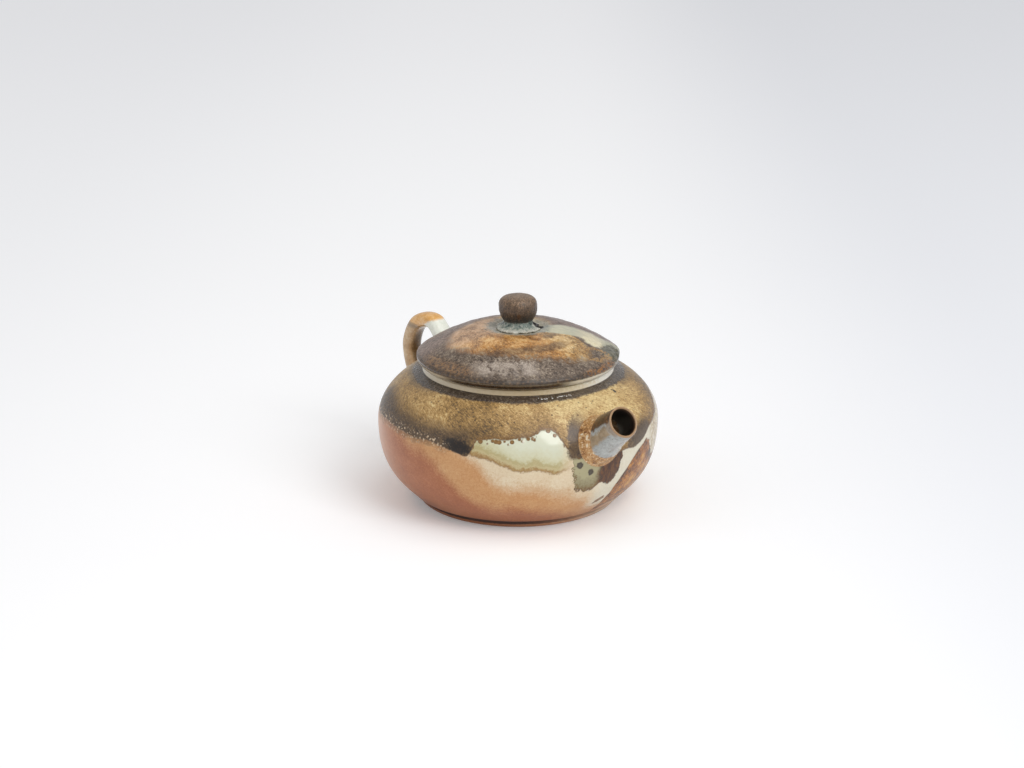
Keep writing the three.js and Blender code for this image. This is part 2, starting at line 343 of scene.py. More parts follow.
knob_outline = (
    [(0, knob_base - 0.3), (flare_radius - 0.2, knob_base - 0.3)]
    + curve((flare_radius, knob_base), (knob_neck + 1.2, knob_base + 0.7),
            (knob_neck, neck_height - 0.8), (knob_neck, neck_height), 18)
    + curve((knob_neck + 0.08, neck_height + 0.15), (knob_neck + 0.7, neck_height + 1.1),
            (knob_radius, ball_height - 1.9), (knob_radius, ball_height), 18)
    + curve((knob_radius, ball_height), (knob_radius, ball_height + 0.87 * (knob_top - ball_height)),
            (0.73 * knob_radius, knob_top), (0, knob_top), 30)[1:]
)
points, faces = turn_outline(knob_outline, knob_sides, lumpy)
knob = make_piece("knob", points, faces, "lid")
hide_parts("lid_knob")

# %% [markdown]
# ## The steam hole
#
# Beside the knob a steam hole was pushed slantwise through the clay before it dried. A turned rod with
# a wider mouth stands in for the tool: it is laid along the hole and cut out of knob and lid. From the
# camera's side the hole shows as a short dark slot, and its wall is painted dark, as painted shade.

# %% Steam hole
steam_turn = math.radians(55.0)
steam_tilt = math.radians(42.0)
steam_radius = 1.1
steam_mouth = 2.1
rod_sides = 24
rod_low, flare_low, flare_high, rod_high = -7.0, -1.2, 0.9, 4.0
rod_outline = [(0, rod_low), (steam_radius, rod_low), (steam_radius, flare_low)]
rod_outline += [(steam_mouth, flare_high), (steam_mouth, rod_high), (0, rod_high)]

steam_out = Vector((math.cos(steam_turn), math.sin(steam_turn), 0.0))
steam_entry = steam_out * (knob_neck + 1.2) + Vector((0, 0, knob_base + 0.4))
steam_line = steam_out * math.sin(steam_tilt) + Vector((0, 0, math.cos(steam_tilt)))
steam_side = steam_line.cross(steam_out).normalized()
along_hole = Matrix((steam_side, steam_line.cross(steam_side), steam_line)).transposed()
points, faces = turn_outline(rod_outline, rod_sides)
rod = make_object("steam_rod", [steam_entry + along_hole @ Vector(p) for p in points], faces)
for piece in (lid, knob):
    cut = piece.modifiers.new("steam_hole", "BOOLEAN")
    cut.object = rod
    cut.operation = "DIFFERENCE"
    cut.solver = "EXACT"
bpy.context.view_layer.update()
shapes = bpy.context.evaluated_depsgraph_get()
for piece in (lid, knob):
    uncut = piece.data
    drilled = bpy.data.meshes.new_from_object(piece.evaluated_get(shapes))
    piece.modifiers.clear()
    piece.data = drilled
    print(piece.name, "drilled:", len(uncut.polygons), "faces before,", len(drilled.polygons), "after")
bpy.data.meshes.remove(rod.data)

# %% [markdown]
# ## The spout
#
# A short tapered tube. Its mouth was cut a little steeper than square, and the clay was thinned to a
# fine lip. At the root the potter smeared it out on the wall, so it ends in a small trumpet that
# stands a little proud of the bowl. Each line of points runs from the root, where it lies on the
# bowl, over the lip and back down the bore.

# %% Spout
spout_tilt = math.radians(38.3)
mouth_tilt = math.radians(32.2)
spout_root = Vector((wall_radius(30.0), 0, 30.0))
spout_axis = Vector((math.cos(spout_tilt), 0, math.sin(spout_tilt)))
spout_up = Vector((-math.sin(spout_tilt), 0, math.cos(spout_tilt)))
spout_side = Vector((0, 1, 0))
mouth_normal = Vector((math.cos(mouth_tilt), 0, math.sin(mouth_tilt)))
spout_length = 14.0
mouth_radius = 4.8
lip = 0.7
root_bore = 4.9
under_draw = 0.17
# distance from the root along the tube, and the tube's radius there
tube_places = [(-9.0, 8.35), (-4.9, 8.1), (-2.0, 7.85), (0.0, 7.5), (2.0, 6.95), (3.5, 6.4), (5.0, 6.02),
               (8.4, 5.55), (14.0, 4.8), (20.0, 4.2)]


def on_tube(along, radius, angle):
    """A point beside the spout's axis; angle 0 is its upper side. The underside is drawn in."""
    lift = math.cos(angle) * radius
    if lift < 0:
        lift *= 1 - under_draw * min(1.0, max(0.0, 1 - along / spout_length))
    return spout_root + spout_axis * along + spout_up * lift + spout_side * (math.sin(angle) * radius)


def above_wall(point):
    """How far a point lies outside the bowl's wall, along the radius."""
    return Vector((point.x, point.y)).length - wall_radius(point.z)


def wall_contact(angle):
    """Distance along the tube where its surface meets the wall."""
    near, far = -14.0, 10.0
    for _ in range(40):
        middle = (near + far) / 2
        if above_wall(on_tube(middle, read_off(tube_places, middle), angle)) > 0:
            far = middle
        else:
            near = middle
    return (near + far) / 2


def cut_length(radius, angle):
    """Distance along the tube to the slanted plane of the mouth."""
    offset = spout_up * math.cos(angle) * radius + spout_side * math.sin(angle) * radius
    return spout_length - offset.dot(mouth_normal) / spout_axis.dot(mouth_normal)


spout_sides = 128
tube_steps = 40
proud = 0.45
columns = []
for k in range(spout_sides):
    angle = 2 * math.pi * k / spout_sides
    contact = wall_contact(angle)
    root_radius = read_off(tube_places, contact)
    column = []
    for off, smear in ((-1.5, 0.15), (-0.2, 0.22), (proud * 0.6, 0.2)):
        column.append(on_tube(contact + off, root_radius + smear, angle))
    start = contact + proud
    end = cut_length(mouth_radius, angle)
    for i in range(tube_steps):
        along = start + (end - 0.5 - start) * (i / (tube_steps - 1)) ** 1.2
        point = on_tube(along, read_off(tube_places, along), angle)
        push = 0.10 * noise.noise(point / 2.6) * max(0.0, 1 - i / tube_steps)
        column.append(point + (point - spout_root - spout_axis * along).normalized() * push)
    for inset, back in ((0.06, 0.22), (0.2, 0.06), (0.35, 0.0), (0.52, 0.06), (0.66, 0.25)):
        radius = mouth_radius - inset
        column.append(on_tube(cut_length(radius, angle) - back, radius, angle))
    for i in range(1, 13):
        part = i / 12
        radius = (mouth_radius - lip) * (1 - part) + root_bore * part
        column.append(on_tube(end - 0.6 - part * (end + 4.5), radius, angle))
    columns.append(column)

rows = len(columns[0])
points = [tuple(p) for column in columns for p in column]
faces = []
for k in range(spout_sides):
    n = (k + 1) % spout_sides
    for i in range(rows - 1):
        faces.append([k * rows + i, n * rows + i, n * rows + i + 1, k * rows + i + 1])
spout = make_piece("spout_tube", points, faces, "pot")
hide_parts("spout")

# %% [markdown]
# ## The handle
#
# A strap pulled from a lump of wet clay, bent into an ear and pressed on at both ends, where it
# spreads. The middle line is a smooth curve through a few places, and an oval that widens towards the
# ends is carried along it.

# %% Handle
handle_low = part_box("handle")[0]
strap_width = 6.2
strap_thickness = 4.9
handle_out = (axis_x - handle_low[0]) / MM - strap_thickness / 2 - 0.02
upper_height = 38.4
lower_height = 18.0
crest_height = 44.9
upper_start = wall_radius(upper_height)
lower_start = wall_radius(lower_height)
bury = 1.6


def between(a, b, part):
    """The number that lies a part of the way from a to b."""
    return a + (b - a) * part


handle_places = [
    Vector((upper_start - bury, upper_height - 0.2)),
    Vector((between(upper_start, handle_out, 0.2), crest_height - 4.1)),
    Vector((between(upper_start, handle_out, 0.45), crest_height)),
    Vector((between(upper_start, handle_out, 0.82), crest_height - 2.6)),
    Vector((handle_out, 33.5)),
    Vector((between(lower_start, handle_out, 0.8), lower_height + 6.0)),
    Vector((between(lower_start, handle_out, 0.4), lower_height + 1.4)),
    Vector((lower_start - bury, lower_height)),
]


def smooth_line(places, steps):
    """Points of a centripetal spline through the places."""
    ends = [places[0] * 2 - places[1]] + places + [places[-1] * 2 - places[-2]]
    line = []
    for p0, p1, p2, p3 in zip(ends, ends[1:], ends[2:], ends[3:]):
        t1 = (p1 - p0).length ** 0.5
        t2 = t1 + (p2 - p1).length ** 0.5
        t3 = t2 + (p3 - p2).length ** 0.5
        for i in range(steps):
            t = t1 + (t2 - t1) * i / steps
            a1 = p0 * ((t1 - t) / t1) + p1 * (t / t1)
            a2 = p1 * ((t2 - t) / (t2 - t1)) + p2 * ((t - t1) / (t2 - t1))
            a3 = p2 * ((t3 - t) / (t3 - t2)) + p3 * ((t - t2) / (t3 - t2))
            b1 = a1 * ((t2 - t) / t2) + a2 * (t / t2)
            b2 = a2 * ((t3 - t) / (t3 - t1)) + a3 * ((t - t1) / (t3 - t1))
            line.append(b1 * ((t2 - t) / (t2 - t1)) + b2 * ((t - t1) / (t2 - t1)))
    return line + [places[-1]]


strap_line = smooth_line(handle_places, 16)
oval_sides = 48
squareness = 0.8
rings = []
lengths = [0.0]
for a, b in zip(strap_line, strap_line[1:]):
    lengths.append(lengths[-1] + (b - a).length)
for i, middle in enumerate(strap_line):
    ahead = strap_line[min(i + 1, len(strap_line) - 1)] - strap_line[max(i - 1, 0)]
    ahead.normalize()
    through = Vector((ahead.y, -ahead.x))
    from_end = min(lengths[i], lengths[-1] - lengths[i])
    spread = 1 + 0.45 * math.exp(-((max(from_end - bury * 0.6, 0) / 2.6) ** 1.4))
    upper_swell = 0.10 * math.exp(-((lengths[i] / 9.0) ** 2))
    ring = []
    for k in range(oval_sides):
        angle = 2 * math.pi * k / oval_sides
        c, s = math.cos(angle), math.sin(angle)
        across = math.copysign(abs(c) ** squareness, c) * strap_width / 2 * spread
        deep = math.copysign(abs(s) ** squareness, s) * strap_thickness / 2 * (spread + upper_swell)
        place = middle + through * deep
        point = Vector((-place.x, across, place.y))
        point += Vector((0, 1, 0)) * 0.1 * noise.noise(point / 6.0)
        ring.append(tuple(point))
    rings.append(ring)
points = [p for ring in rings for p in ring]
faces = []
for i in range(len(rings) - 1):
    for k in range(oval_sides):
        n = (k + 1) % oval_sides
        a, b = i * oval_sides, (i + 1) * oval_sides
        faces.append([a + k, b + k, b + n, a + n])
faces.append(list(range(oval_sides)))
faces.append([(len(rings) - 1) * oval_sides + k for k in reversed(range(oval_sides))])
handle = make_piece("handle_strap", points, faces, "pot")
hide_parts("handle")

# %% [markdown]
# ## Writing finishes
#
# A kiln finish is a stack: clay, then flame marks, then ash, then glass. One function adds a shader
# node, another lays a coat over what is there already, as far as its masks, from 0 to 1, let it. A
# finish is three things: its colour, its roughness, and its height in millimetres, which the bump turns
# into relief. No border on the pot is straight, so sums push every place about by a few sizes of grain.

# %% Finish helpers
tree = None
skin = None
grains = {}
clay_ior = 1.5


def linear(hex_colour):
    """An sRGB hex colour as the linear values a shader works in."""
    parts = [int(hex_colour[i:i + 2], 16) / 255 for i in (1, 3, 5)]
    return tuple(c / 12.92 if c <= 0.04045 else ((c + 0.055) / 1.055) ** 2.4 for c in parts) + (1.0,)


def begin(name):
    """Starts a material; the nodes added next go into its tree."""
    global tree
    material = bpy.data.materials.new(name)
    material.use_nodes = True
    tree = material.node_tree
    tree.nodes.clear()
    return material


def add(kind, *values, out=0, named=None, stops=None, line=None, **settings):
    """Adds a shader node: its kind and operation, its inputs as numbers or links, its settings."""
    kind, _, operation = kind.partition(" ")
    node = tree.nodes.new("ShaderNode" + kind)
    if operation:
        node.operation = operation
    for key, value in settings.items():
        setattr(node, key, value)
    for key, value in list(enumerate(values)) + list((named or {}).items()):
        if isinstance(value, bpy.types.NodeSocket):
            tree.links.new(value, node.inputs[key])
        else:
            node.inputs[key].default_value = value
    if stops:
        ramp = node.color_ramp.elements
        while len(ramp) < len(stops):
            ramp.new(0.5)
        for element, (place, colour) in zip(ramp, stops):
            element.position = place
            element.color = linear(colour)
    if line:
        drawn = node.mapping.curves[0]
        while len(drawn.points) < len(line):
            drawn.points.new(0.5, 0.5)
        for dot, place in zip(drawn.points, line):
            dot.location = place
            dot.handle_type = "VECTOR"
        node.mapping.update()
    return node.outputs[out]


def total(*values, **swings):
    """Sum of values, a pair being a value and its weight. A grain named with a size pushes the sum to
    both sides, from minus to plus half that size."""
    result = -sum(swings.values()) / 2
    for value in values + tuple((grains[name], size) for name, size in swings.items()):
        value, weight = value if isinstance(value, tuple) else (value, 1)
        result = add("Math MULTIPLY_ADD", value, weight, result)
    return result


def all_of(*masks):
    """1 where every mask is 1."""
    return reduce(lambda a, b: add("Math MULTIPLY", a, b), masks)


def any_of(*masks):
    """1 where at least one mask is 1."""
    return reduce(lambda a, b: add("Math MAXIMUM", a, b), masks)


def ease(value, start, end, low=0, high=1):
    """Low before start, high after end, smooth between; start may be the larger."""
    if start > end:
        start, end, low, high = end, start, high, low
    return add("MapRange", value, start, end, low, high, interpolation_type="SMOOTHSTEP")


def band(value, rise, full, fall, gone):
    """1 between full and fall, 0 before rise and after gone."""
    return all_of(ease(value, rise, full), ease(value, gone, fall))


def ramp(value, colours):
    """Colours along a value, each written as its place in percent and its hex colour."""
    stops = [stop.split() for stop in colours.split(", ")]
    return add("ValToRGB", value, stops=[(float(place) / 100, colour) for place, colour in stops])


def finish(colour, rough, height=0):
    """A finish from a colour, as hex or as a link, a roughness and a height in millimetres."""
    if isinstance(colour, str):
        colour = linear(colour)
    return {"colour": colour, "rough": rough, "height": height}


def lay(under, over, mask):
    """One finish over another where the mask is 1."""
    return {
        "colour": add("Mix", mask, data_type="RGBA", named={6: under["colour"], 7: over["colour"]}, out=2),
        "rough": add("Mix", mask, named={2: under["rough"], 3: over["rough"]}),
        "height": add("Mix", mask, named={2: under["height"], 3: over["height"]}),
    }


def coat(over, *masks):
    """Lays a finish over the skin so far where all masks are 1; without masks it covers everything."""
    global skin
    skin = lay(skin, over, all_of(*masks)) if masks else over


def places():
    """Where a surface point lies: millimetres, degrees round from the spout, height and radius."""
    point = add("VectorMath SCALE", add("TexCoord", out="Object"), named={3: 1 / MM})
    x, y, height = (add("SeparateXYZ", point, out=k) for k in range(3))
    turn = add("Math MULTIPLY", add("Math ARCTAN2", y, x), math.degrees(1))
    return point, turn, height, add("VectorMath LENGTH", add("CombineXYZ", x, y, 0), out=1)


def grain(at, size, detail=3, rough=0.55, distort=0):
    """Noise from 0 to 1 with features of a size in millimetres."""
    return add("TexNoise", named={
        "Vector": at, "Scale": 1 / size, "Detail": detail, "Roughness": rough, "Distortion": distort})


def make_grains(**kinds):
    """Grains under their names, each from its size in mm, detail and roughness."""
    grains.clear()
    grains.update((name, grain(point, *kind)) for name, kind in kinds.items())
    return grains.values()


def creases(size, detail, distort):
    """Distance from fine winding lines, which lie where a noise passes its middle value."""
    return add("Math ABSOLUTE", total((grain(point, size, detail, 0.6, distort), 2), -1))


def cells(size, **settings):
    """Distance to the nearest of many scattered dots, in shares of the size."""
    return add("TexVoronoi", named={"Vector": point, "Scale": 1 / size}, **settings)


def brushed(along, lean, squeeze, round_radius):
    """Places for marks that run up and down the pot: squeezed along their length, leaning over."""
    flat = add("VectorMath MULTIPLY", point, (1, 1, 0))
    ring = add("VectorMath SCALE", flat, named={3: add("Math DIVIDE", round_radius, radius)})
    twisted = add("VectorRotate", ring, named={"Angle": total((along, math.radians(lean)))},
                  rotation_type="Z_AXIS")
    return add("VectorMath ADD", twisted, add("CombineXYZ", 0, 0, total((along, squeeze))))


def line_round(turn, drawn, start=-180, end=180, top=60):
    """A line drawn round the pot through (degrees, millimetres): its millimetres at each angle."""
    share = add("MapRange", turn, start, end)
    shape = add("FloatCurve", 1, share, line=[((a - start) / (end - start), h / top) for a, h in drawn])
    return total((shape, top))


def spot(turn, height, at_turn, at_height, wide, tall, lean=0):
    """Distance from the middle of a round mark, in shares of its size; mm per degree is the belly's."""
    across = total((turn, math.radians(1) * belly_radius), -at_turn * math.radians(1) * belly_radius)
    flat = add("CombineXYZ", across, total(height, -at_height), 0)
    place = add("VectorRotate", flat, named={"Angle": math.radians(-lean)}, rotation_type="Z_AXIS")
    return add("VectorMath LENGTH", add("VectorMath MULTIPLY", place, (1 / wide, 1 / tall, 1)), out=1)


def round_the_spout():
    """Distance along the spout from its root, distance from its axis, and degrees round from its top."""
    from_root = add("VectorMath SUBTRACT", point, tuple(spout_root))
    along, aside, up = (add("VectorMath DOT_PRODUCT", from_root, tuple(way), out=1)
                        for way in (spout_axis, spout_side, spout_up))
    away = add("VectorMath LENGTH", add("CombineXYZ", aside, up, 0), out=1)
    return along, away, total((add("Math ARCTAN2", aside, up), math.degrees(1)))


def steam_hole():
    """Mask of the steam hole's wall, which is painted dark as the shade inside the hole."""
    from_entry = add("VectorMath SUBTRACT", point, tuple(steam_entry))
    off_line = add("VectorMath CROSS_PRODUCT", from_entry, tuple(steam_line))
    from_line = add("VectorMath LENGTH", off_line, out=1)
    return all_of(ease(from_line, steam_mouth + 0.02, steam_mouth - 0.12),
                  ease(height, knob_base - 1.6, knob_base - 1.2))


def fire(material, piece, gloss, gloss_rough):
    """Ends a material, fired clay under a thin skin of glass, and gives it to a piece."""
    bump = add("Bump", named={"Strength": 1, "Distance": MM, "Height": skin["height"]})
    shader = add("BsdfPrincipled", named={
        "Base Color": skin["colour"], "Roughness": skin["rough"], "IOR": clay_ior, "Normal": bump,
        "Coat Weight": gloss, "Coat Roughness": gloss_rough, "Coat IOR": clay_ior, "Coat Normal": bump})
    tree.links.new(shader, tree.nodes.new("ShaderNodeOutputMaterial").inputs["Surface"])
    piece.data.materials.clear()
    piece.data.materials.append(material)
    print(material.name, "has", len(tree.nodes), "nodes")


# painted shade: near black, for the wall of the steam hole
painted_hole_shade = finish("#140B06", 0.5)
print("middle grey #808080 is", round(linear("#808080")[0], 3), "as a linear value")

# %% [markdown]
# ## The bowl: bare clay
#
# From the foot up the porcelain is bare and flushed by the flame: red brown on the fire side, apricot
# in front, cream towards the spout and white beside it. The borders are soft, and grainy when looked
# at closely, because each grain of clay took its own share of the flame.

# %% Bowl: clay and flame
red_line = [(-180, 12), (-130, 24), (-105, 29), (-90, 28), (-76, 25), (-67, 20), (-61, 14.5), (-55, 11),
            (-50, 9.5), (-32, 8.5), (-20, 6.5), (-6, 2), (40, 1), (90, 6), (140, 10), (180, 12)]
cream_line = [(-180, 38), (-75, 34), (-60, 29), (-51, 24), (-46, 19), (-40, 17), (-30, 15.5), (-16, 13.5),
              (-8, 11), (0, 8), (20, 3), (60, 8), (100, 20), (140, 32), (180, 38)]

# half bare porcelain, half melted ash: soft and grainy, with a thin wet gloss
bowl_finish = begin("wood_fired_porcelain")
point, turn, height, radius = places()
dust, fine, small, *_ = make_grains(
    dust=(0.42, 2, 0.6), fine=(0.9, 4, 0.6), small=(2.2, 4, 0.6), middling=(6, 3, 0.5), broad=(17, 2, 0.5))

wander = total(height, middling=4, broad=5, fine=3, dust=3)
clay_tone = total(0.5, dust=0.7, fine=0.6, middling=0.5)
red_clay = finish(ramp(clay_tone, "20 #985530, 50 #A9653B, 80 #B8784E"), 0.36)
apricot_clay = finish(ramp(clay_tone, "20 #BB834E, 50 #C8945F, 80 #D2A675"), 0.3)
cream_clay = finish(ramp(clay_tone, "20 #D3BC99, 50 #DDCAAA, 80 #E4D6BC"), 0.24)
white_clay = finish(ramp(clay_tone, "20 #CFC7B0, 50 #DBD4BF, 80 #E2DDCC"), 0.2)
above_red = total(wander, (line_round(turn, red_line), -1))
above_cream = total(wander, (line_round(turn, cream_line), -1))
coat(red_clay)
coat(apricot_clay, ease(above_red, -3, 4))
far_left = all_of(ease(total(turn, small=8), -88, -122), ease(turn, -172, -140))
coat(finish("#DAA686", 0.3), far_left, 0.85)
coat(cream_clay, ease(above_cream, -3, 4.5))
coat(white_clay, ease(total(turn, small=8), -5, 3), ease(turn, 100, 70), ease(height, 5, 9))
beige_tone = total(0.5, fine=1.6, small=1.2)
beige_clay = finish(ramp(beige_tone, "12 #7C6442, 40 #B09B76, 60 #C4B494, 85 #DDD4C2"), 0.22)
coat(beige_clay, band(turn, 30, 36, 70, 100), ease(height, 14, 17), 0.9)
print("clay and flame take", len(tree.nodes), "nodes")

# %% [markdown]
# ## The bowl: rust and drips beside the spout
#
# Ash that gathered round the spout ran off it in a grey green tongue and a brown one. Further round a
# broad rust brown run with golden hearts crosses the belly, and left a white strip of bare porcelain
# between itself and the brown tongue.

# %% Bowl: beside the spout
rust_top = [(-20, 1), (5.5, 3.5), (7.5, 9.5), (10, 13.8), (13, 16.8), (17, 20), (20.5, 22.3), (24, 23.6),
            (28, 25), (31, 24.5), (33, 21.5), (36, 18), (44, 17), (60, 16), (90, 14), (120, 6), (140, 1)]
rust_foot = [(-20, 4), (5, 3), (12, 4.5), (26, 6), (30, 8), (38, 10), (50, 10), (80, 11), (120, 10),
             (140, 9)]
tongue_foot = [(-20, 36), (-14, 34), (-12.5, 20), (-11.5, 15), (-7, 13.5), (-3, 14), (-1, 15.5), (1, 16),
               (4, 14.5), (7, 15.5), (10, 19), (11.5, 24), (13, 34), (20, 36)]

ragged = total(height, small=2.2, fine=2)
rust_turn = total(turn, fine=3, small=3)
rust_in = total(line_round(rust_turn, rust_top, -20, 140), (ragged, -1))
rust_out = total(ragged, (line_round(turn, rust_foot, -20, 140), -1))
rust_depth = add("Math MINIMUM", rust_in, rust_out)
heart = cells(2.8, feature="SMOOTH_F1")
rust_heart = total((rust_depth, 0.05), (heart, -1), 0.66, fine=1.3, small=0.8, dust=0.8)
rust = finish(ramp(rust_heart, "0 #452409, 20 #6E3F12, 40 #935610, 62 #B07020, 90 #CB923C"), 0.3,
              total((fine, 0.35)))
coat(rust, ease(rust_depth, -0.15, 0.45), ease(turn, 110, 80))

oval = spot(turn, height, 3.5, 9, 2.3, 0.85, 25)
coat(finish(ramp(fine, "30 #6E4E34, 70 #9A8468"), 0.25, 0.1), ease(total(oval, fine=0.9), 1.1, 0.8))

tongue_turn = total(turn, small=5, fine=2.5)
above_tongue = total(ragged, (line_round(tongue_turn, tongue_foot, -20, 20, 40), -1))
green_inside = total((above_tongue, 0.17), fine=0.6, dust=0.3)
green_tongue = finish(ramp(green_inside, "0 #5C3F24, 16 #7B6036, 38 #8A7E5A, 65 #98906E, 100 #ABA37E"),
                      0.16, 0.15)
grains["streaks_down"] = grain(add("VectorMath MULTIPLY", point, (1, 1, 0.3)), 0.7, 3, 0.6)
brown_tongue = finish(ramp(total(0.5, streaks_down=1.2, fine=0.6, dust=0.4),
                           "15 #241004, 45 #482608, 80 #7A4A18"), 0.28, 0.15)
tongues = lay(green_tongue, brown_tongue, ease(total(turn, small=5, fine=3), -2.5, 0.5))
coat(tongues, ease(above_tongue, -0.1, 0.5), ease(height, 31, 29))
for at_turn, at_height, size in ((-10, 23.3, 1.15), (-5, 20.5, 1.1)):
    mark = total(spot(turn, height, at_turn, at_height, size, size), fine=0.9)
    coat(finish(ramp(mark, "30 #4F4738, 75 #453C2F, 100 #6B5E48"), 0.25, 0.1), ease(mark, 1.15, 0.75))
print("with rust and drips the bowl has", len(tree.nodes), "nodes")

# %% [markdown]
# ## The bowl: pale green glass
#
# In front the melted ash pooled into a pale green glass. It thins to a tan fringe at its lower edge,
# with a second olive line a few millimetres above it, and fades into the bare cream near the spout.

# %% Bowl: green glass
green_line = [(-180, 40), (-60, 33), (-56, 29.5), (-54, 27), (-49, 26.5), (-44, 25.3), (-40, 24),
              (-37, 22.9), (-33, 22.4), (-28, 22.9), (-25, 22.3), (-21, 21.2), (-18, 21.5), (-14, 22.5),
              (-8, 24), (0, 40), (180, 40)]
above_green = total(height, (line_round(turn, green_line), -1), small=1.2, fine=2)
olive_side = ease(turn, -24, -56)
green_depth = total((above_green, 0.13), (olive_side, -0.06), small=0.2, fine=0.12, dust=0.14)
green_colours = "0 #94703F, 10 #A98C58, 20 #C2B488, 33 #B2A474, 46 #C6C09A, 65 #D0CEB0, 100 #D6D8C2"
green_glass = finish(ramp(green_depth, green_colours), 0.13, 0.1)
fade_in = ease(total(turn, small=5), -12, -20)
coat(green_glass, ease(above_green, -0.3, 0.5), fade_in)
print("with the green glass it has", len(tree.nodes), "nodes")

# %% [markdown]
# ## The bowl: melted ash
#
# The shoulder is gold brown and grainy, with fine dark strokes that run down and lean over, where the
# ash began to flow. It ends over the green glass in round brown drops, on the fire side in a row of
# pale specks, and in two dark patches where it lay thickest and took up smoke.

# %% Bowl: ash
ash_line = [(-180, 31), (-150, 30), (-114, 29.3), (-103, 30), (-89, 29.5), (-80, 29), (-73, 29.4),
            (-65, 28.3), (-60, 27.5), (-55.5, 26.6), (-53.8, 28), (-52.3, 31.4), (-46, 32.3), (-39, 32.2),
            (-32, 32.7), (-28, 33.3), (-26, 34.6), (-20, 34.3), (-17.5, 31.8), (-14.5, 28), (-12, 26.8),
            (-5, 25), (14, 25), (19, 24.4), (26, 26), (31, 28), (36, 28.7), (45, 30), (50, 32), (57, 34),
            (75, 33), (100, 30), (140, 32), (180, 31)]
smoke_line = [(-180, 32), (-130, 33), (-118, 36.5), (-110, 36), (-98, 34), (-88, 34), (-74, 33),
              (-62, 33.3), (-50, 34.2), (-40, 34), (-28, 35), (-20, 35), (-16, 33), (-10, 32), (14, 31),
              (30, 30.5), (45, 30), (60, 34), (110, 33), (180, 32)]


def hanging_drops(line, size, reach, girth):
    """Round drops on a line round the pot: whole discs whose middles lie up to a reach under it."""
    off = cells(size)
    middle_height = add("SeparateXYZ", cells(size, out="Position"), out=2)
    return all_of(ease(off, girth + 0.06, girth - 0.04),
                  band(total(middle_height, (line, -1)), -reach, -reach + 0.15, 0.7, 0.9))


flow_along = total(height, (radius, -0.9))
strokes = grains["strokes"] = grain(brushed(flow_along, 1.4, 0.32, 38), 0.5, 3, 0.62)
ash_edge = line_round(turn, ash_line)
above_ash = total(height, (ash_edge, -1), small=0.9, fine=0.7)
# painted light and shade: the ash is lighter on the side the front soft box lights, and darker round the
# back
painted_light_side = all_of(ease(total(turn, broad=40), -52, -18), ease(turn, 60, 15, -0.4, 1))
dull = ease(total(spot(turn, height, -53, 36.5, 11, 4.5), middling=0.9), 1.3, 0.5)
ash_tone = total(ease(above_ash, 0, 9, -0.14, 0.06), (painted_light_side, 0.2), (dull, -0.16), 0.48, dust=0.7,
                 strokes=0.9, fine=0.7, middling=0.5, broad=0.3)
gold_ash = finish(ramp(ash_tone, "8 #3A2A17, 28 #70552D, 45 #98763F, 62 #B8935A, 90 #E2CB92"), 0.38,
                  total((strokes, 0.12), (dust, 0.1)))
drops = hanging_drops(ash_edge, 1.5, 1.1, 0.48)
bead_brown = finish(ramp(total(0.5, dust=0.8), "25 #634626, 60 #8E6B3E, 90 #BC9C6A"), 0.16, 0.3)
coat(bead_brown, any_of(ease(above_ash, -0.3, 0.15), all_of(drops, band(turn, -56, -52, -2, 2))))
coat(gold_ash, ease(total(above_ash, dust=1), 0.1, 1.8))

smoke_top = total(line_round(turn, smoke_line), (height, -1), small=3, middling=4, fine=4, dust=4)
fire_side = band(turn, -150, -125, -58, -48)
spout_side_smoke = band(turn, 12, 16, 30, 36)
smoke_strength = any_of(fire_side, spout_side_smoke, 0.25)
smoke_tone = total(0.46, dust=1.1, fine=0.9, strokes=0.3, small=0.4)
smoke = finish(ramp(smoke_tone, "10 #20150B, 38 #42301C, 60 #644C30, 80 #8E744A, 98 #BEA574"), 0.36,
               total((dust, 0.2)))
coat(smoke, ease(smoke_top, -2.4, 2), ease(above_ash, -0.5, 0.3), smoke_strength)
tip = total(spot(turn, height, -59.5, 29, 5.6, 2.4, -12), small=0.7, fine=0.6)
right_patch = total(spot(turn, height, 24, 27.6, 6, 3, 20), small=0.9, fine=0.8)
coat(finish(ramp(total(0.5, dust=1.2), "20 #33271A, 60 #5A4834, 95 #8C7452"), 0.36, 0.1),
     ease(right_patch, 1.15, 0.6), ease(above_ash, -0.2, 0.4))
coat(finish(ramp(total(0.5, dust=1.4), "20 #060200, 60 #180A02, 95 #4E341A"), 0.6, 0.1),
     ease(tip, 1.15, 0.55), ease(above_ash, -0.4, 0.2))

speck = cells(0.85)
fringe = all_of(ease(total(above_ash, small=2), -2.4, -0.4), ease(above_ash, 2.6, 0.4),
                band(turn, -150, -120, -68, -61))
coat(finish("#5A4632", 0.4, 0.1), fringe, ease(total(speck, fine=0.8), 0.35, 0.55), 0.55)
coat(finish(ramp(dust, "40 #A98A6A, 60 #D8C2A4"), 0.3, 0.25), fringe,
     ease(total(speck, fine=0.6), 0.42, 0.24))
pinhole = all_of(ease(cells(2.3), 0.16, 0.1), ease(above_ash, 1.5, 3), ease(small, 0.44, 0.5))
coat(finish("#3B2B1B", 0.4, -0.1), pinhole, 0.7)
print("with the ash it has", len(tree.nodes), "nodes")
